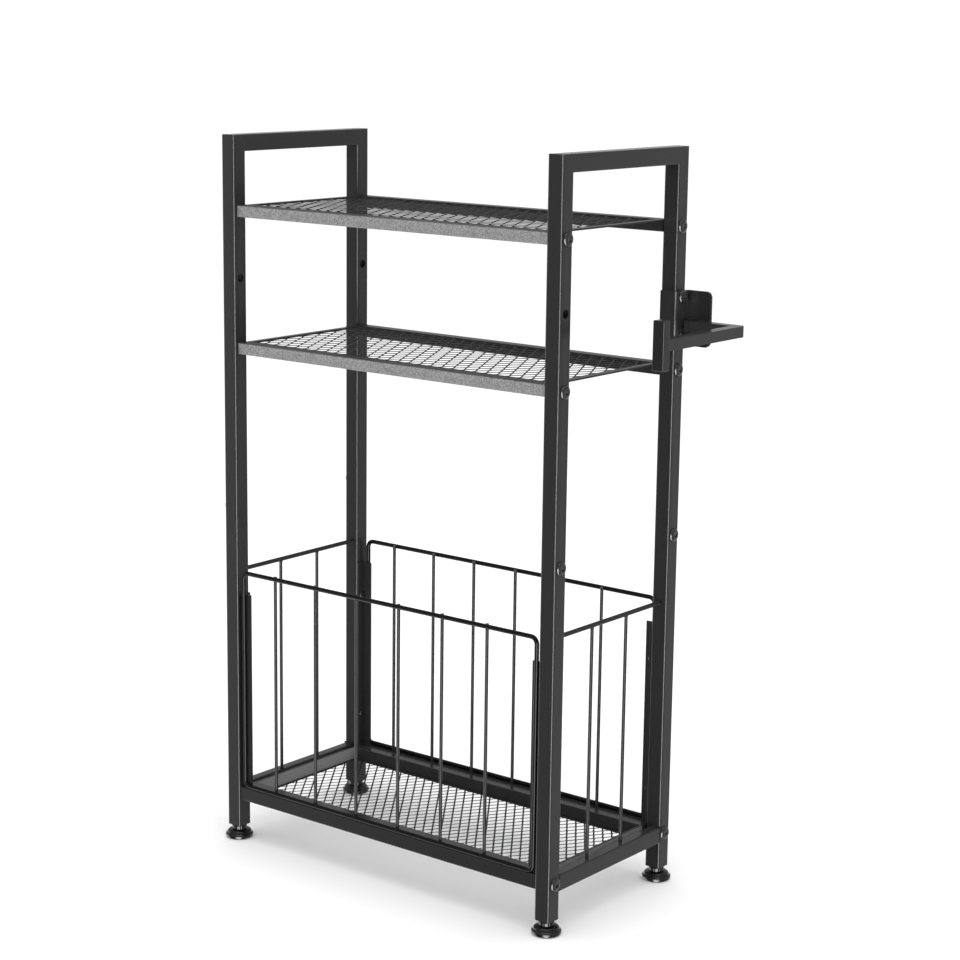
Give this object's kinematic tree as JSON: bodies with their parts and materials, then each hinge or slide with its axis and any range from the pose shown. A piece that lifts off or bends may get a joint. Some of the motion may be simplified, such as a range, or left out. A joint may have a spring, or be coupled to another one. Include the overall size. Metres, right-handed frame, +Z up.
{
  "type": "free-standing toilet paper holder",
  "caption": "Free-standing bathroom rack with mesh shelves, a wire basket for spare rolls and a side arm for the roll in use.",
  "frame": {"origin": "on the floor, at the centre of the rectangle that the four posts stand on", "axes": "+X to the right along the long side, towards the roll arm; -Y to the front; +Z up"},
  "size_m": [0.444, 0.191, 0.654],
  "materials": {
    "frame_powder_coat": "satin powder coat, very fine texture",
    "shelf_powder_coat": "fine textured powder coat",
    "mesh_powder_coat": "satin powder coat",
    "wire_powder_coat": "satin powder coat",
    "black_bolts": "black oxide, glossy",
    "bare_steel": "zinc plated",
    "foot_plastic": "glossy moulded"
  },
  "bodies": {
    "rack": {"front_left_lower_post": "frame_powder_coat", "front_left_upper_post": "frame_powder_coat", "front_right_lower_post": "frame_powder_coat", "front_right_upper_post": "frame_powder_coat", "back_left_lower_post": "frame_powder_coat", "back_left_upper_post": "frame_powder_coat", "back_right_lower_post": "frame_powder_coat", "back_right_upper_post": "frame_powder_coat", "post_couplers": "bare_steel", "coupler_bolts": "black_bolts", "left_top_rail": "frame_powder_coat", "left_cross_rail": "frame_powder_coat", "right_top_rail": "frame_powder_coat", "right_cross_rail": "frame_powder_coat", "upper_shelf_front_rail": "shelf_powder_coat", "upper_shelf_back_rail": "shelf_powder_coat", "upper_shelf_left_end_strip": "shelf_powder_coat", "upper_shelf_right_end_strip": "shelf_powder_coat", "upper_shelf_mesh": "mesh_powder_coat", "upper_shelf_bolts": "black_bolts", "middle_shelf_front_rail": "shelf_powder_coat", "middle_shelf_back_rail": "shelf_powder_coat", "middle_shelf_left_end_strip": "shelf_powder_coat", "middle_shelf_right_end_strip": "shelf_powder_coat", "middle_shelf_mesh": "mesh_powder_coat", "middle_shelf_bolts": "black_bolts", "tray_front_rail": "frame_powder_coat", "tray_back_rail": "frame_powder_coat", "tray_left_end_strip": "shelf_powder_coat", "tray_right_end_strip": "shelf_powder_coat", "tray_mesh": "mesh_powder_coat", "tray_bolts": "black_bolts", "front_basket_frame": "wire_powder_coat", "front_basket_bars": "wire_powder_coat", "back_basket_frame": "wire_powder_coat", "back_basket_bars": "wire_powder_coat", "left_basket_rim": "wire_powder_coat", "left_basket_bars": "wire_powder_coat", "right_basket_rim": "wire_powder_coat", "right_basket_bars": "wire_powder_coat", "front_left_basket_bracket": "wire_powder_coat", "front_right_basket_bracket": "wire_powder_coat", "back_left_basket_bracket": "wire_powder_coat", "back_right_basket_bracket": "wire_powder_coat", "basket_screws": "black_bolts", "arm_bracket": "frame_powder_coat", "arm_bar": "frame_powder_coat", "arm_end_stop": "frame_powder_coat", "arm_bolts": "black_bolts", "foot_inserts": "bare_steel"},
    "front_left_foot": {"front_left_foot_pad": "foot_plastic", "front_left_foot_stud": "foot_plastic"},
    "front_right_foot": {"front_right_foot_pad": "foot_plastic", "front_right_foot_stud": "foot_plastic"},
    "back_left_foot": {"back_left_foot_pad": "foot_plastic", "back_left_foot_stud": "foot_plastic"},
    "back_right_foot": {"back_right_foot_pad": "foot_plastic", "back_right_foot_stud": "foot_plastic"}
  },
  "joints": [
    {"name": "front_left_foot_height", "type": "slide", "parent": "rack", "child": "front_left_foot", "axis": [0, 0, -1], "range_m": [0, 0.008]},
    {"name": "front_right_foot_height", "type": "slide", "parent": "rack", "child": "front_right_foot", "axis": [0, 0, -1], "range_m": [0, 0.008]},
    {"name": "back_left_foot_height", "type": "slide", "parent": "rack", "child": "back_left_foot", "axis": [0, 0, -1], "range_m": [0, 0.008]},
    {"name": "back_right_foot_height", "type": "slide", "parent": "rack", "child": "back_right_foot", "axis": [0, 0, -1], "range_m": [0, 0.008]}
  ]
}
